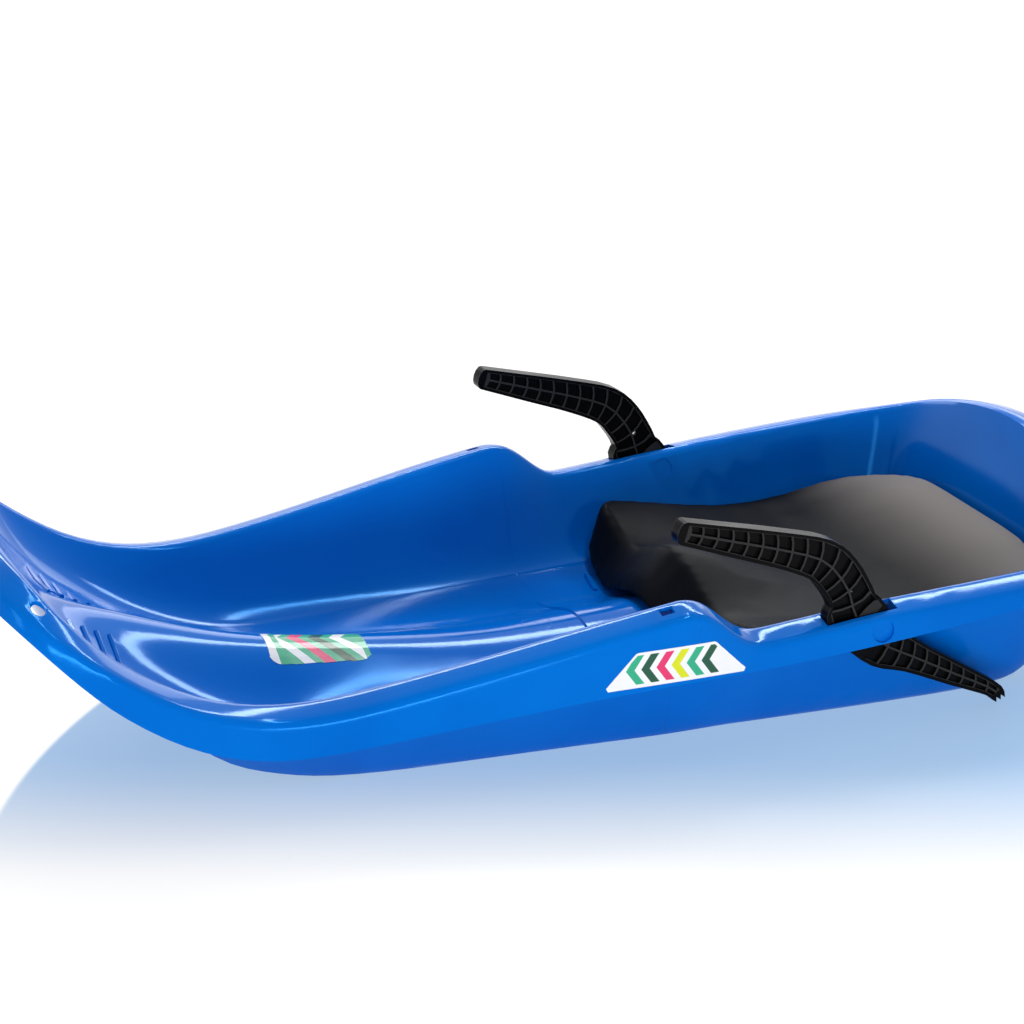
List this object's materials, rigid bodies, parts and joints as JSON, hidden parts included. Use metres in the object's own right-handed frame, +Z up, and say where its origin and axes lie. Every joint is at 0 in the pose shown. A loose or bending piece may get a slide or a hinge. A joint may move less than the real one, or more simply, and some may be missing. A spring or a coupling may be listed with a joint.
{
  "type": "plastic bobsled",
  "caption": "Moulded plastic child's bobsled with a raised spine between foot wells, a soft saddle seat, floor runners and a hinged ribbed hand brake at each side.",
  "frame": {"origin": "on the ground under the middle of the sled: centre of the bounding box, at the height of the runner soles", "axes": "+X towards the nose, +Y towards the rider's left, +Z up"},
  "size_m": [0.901, 0.416, 0.2039],
  "materials": {
    "hull_blue_plastic": "glossy moulded",
    "lever_black_plastic": "satin moulded",
    "seat_soft_grey": "matte soft-touch",
    "zinc_plated_steel": "zinc plated"
  },
  "bodies": {
    "sled": {"hull": "hull_blue_plastic", "seat": "seat_soft_grey", "brake_pin_left": "zinc_plated_steel", "brake_pin_right": "zinc_plated_steel", "seat_screw_front_left": "zinc_plated_steel", "seat_screw_front_right": "zinc_plated_steel", "seat_screw_rear_left": "zinc_plated_steel", "seat_screw_rear_right": "zinc_plated_steel", "seat_washer_front_left": "zinc_plated_steel", "seat_washer_front_right": "zinc_plated_steel", "seat_washer_rear_left": "zinc_plated_steel", "seat_washer_rear_right": "zinc_plated_steel"},
    "left_brake": {"brake_lever_left": "lever_black_plastic"},
    "right_brake": {"brake_lever_right": "lever_black_plastic"}
  },
  "joints": [
    {"name": "left_brake_pull", "type": "hinge", "parent": "sled", "child": "left_brake", "pos_m": [-0.194, 0.1876, 0.083], "axis": [0, -1, 0], "range_deg": [0, 30]},
    {"name": "right_brake_pull", "type": "hinge", "parent": "sled", "child": "right_brake", "pos_m": [-0.194, -0.1876, 0.083], "axis": [0, -1, 0], "range_deg": [0, 30]}
  ]
}
